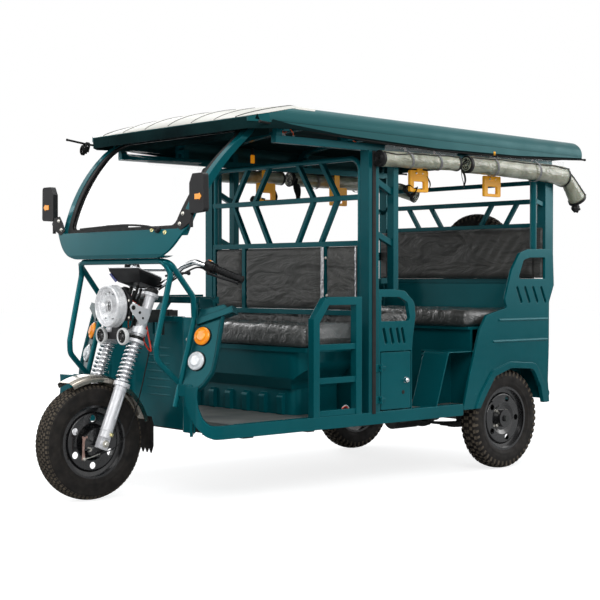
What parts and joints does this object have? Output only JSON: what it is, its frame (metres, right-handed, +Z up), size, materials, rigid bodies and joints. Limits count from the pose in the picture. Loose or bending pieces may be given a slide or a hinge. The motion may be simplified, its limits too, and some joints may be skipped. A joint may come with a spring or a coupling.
{
  "type": "auto rickshaw",
  "caption": "Three wheeled electric passenger rickshaw with an open sided cabin, facing benches, a curved screen and a fork steered front wheel.",
  "frame": {"origin": "on the ground, at the middle of the vehicle's length and width", "axes": "+X forward, +Y to the left side, +Z up"},
  "size_m": [2.89, 1.3604, 1.7227],
  "materials": {
    "teal_paint": "gloss paint",
    "black_paint": "satin paint",
    "floor_mat": "ribbed mat",
    "tyre_rubber": "matt",
    "black_rubber": "matt",
    "dark_vinyl": "vinyl under clear film",
    "pad_vinyl": "satin vinyl",
    "black_plastic": "moulded",
    "bright_chrome": "polished",
    "silver_metal": "satin",
    "stainless": "polished",
    "clear_glass": "clear",
    "clear_lens": "clear lens",
    "amber_lens": "amber lens",
    "red_lens": "red lens",
    "curtain_film": "clear film with dark edging",
    "orange_plastic": "moulded"
  },
  "bodies": {
    "body": {"chassis_frame": "teal_paint", "cross_members": "teal_paint", "side_sills": "teal_paint", "floor_pan": "floor_mat", "rear_axle": "black_paint", "front_apron": "teal_paint", "front_wings": "teal_paint", "indicator_lamps": "amber_lens", "position_lamps": "clear_lens", "crash_guard": "teal_paint", "windscreen": "clear_glass", "screen_seal": "black_rubber", "screen_pillars": "teal_paint", "cowl": "teal_paint", "mirrors": "black_plastic", "cabin_frame": "teal_paint", "roof_bows": "teal_paint", "partition_grille": "teal_paint", "partition_pads": "pad_vinyl", "rear_grille": "teal_paint", "rear_backrest": "pad_vinyl", "driver_seat_base": "teal_paint", "driver_cushion": "dark_vinyl", "bench_side_panels": "teal_paint", "bench_base": "teal_paint", "bench_cushion": "dark_vinyl", "ladder_guards": "teal_paint", "rear_seat_base": "teal_paint", "rear_cushion": "dark_vinyl", "quarter_panel_left": "teal_paint", "quarter_panel_right": "teal_paint", "tail_panel": "teal_paint", "spare_carrier": "teal_paint", "tail_lamps": "red_lens", "roof": "teal_paint", "roof_rods": "black_paint", "curtain_rolls": "curtain_film", "hand_grips": "orange_plastic", "spare_tyre": "tyre_rubber", "spare_rim": "black_paint", "foot_pedal": "black_paint"},
    "steering": {"fork_lower": "silver_metal", "fork_upper": "silver_metal", "fork_springs": "bright_chrome", "handlebar": "bright_chrome", "handlebar_grips": "black_rubber", "headlamp": "clear_lens", "lamp_shroud": "black_plastic", "fog_lamps": "clear_lens", "mudguard": "stainless", "mud_flap": "black_rubber", "brake_gear": "black_paint"},
    "front_wheel": {"front_tyre": "tyre_rubber", "front_rim": "black_paint"},
    "rear_wheel_left": {"rear_tyre_left": "tyre_rubber", "rear_rim_left": "black_paint"},
    "rear_wheel_right": {"rear_tyre_right": "tyre_rubber", "rear_rim_right": "black_paint"},
    "battery_door": {"battery_door": "teal_paint"}
  },
  "joints": [
    {"name": "steering", "type": "hinge", "parent": "body", "child": "steering", "pos_m": [0.92398, 0, 0.79801], "axis": [-0.3746, 0, 0.9272], "range_deg": [-35, 35]},
    {"name": "front_wheel_spin", "type": "hinge", "parent": "steering", "child": "front_wheel", "pos_m": [1.195, 0, 0.25], "axis": [0, 1, 0], "continuous": true},
    {"name": "rear_wheel_spin_left", "type": "hinge", "parent": "body", "child": "rear_wheel_left", "pos_m": [-0.89, 0.53, 0.25], "axis": [0, 1, 0], "continuous": true},
    {"name": "rear_wheel_spin_right", "type": "hinge", "parent": "body", "child": "rear_wheel_right", "pos_m": [-0.89, -0.53, 0.25], "axis": [0, 1, 0], "continuous": true},
    {"name": "battery_door_hinge", "type": "hinge", "parent": "body", "child": "battery_door", "pos_m": [0.029, 0.61, 0.482], "axis": [0, 0, -1], "range_deg": [0, 100]}
  ]
}
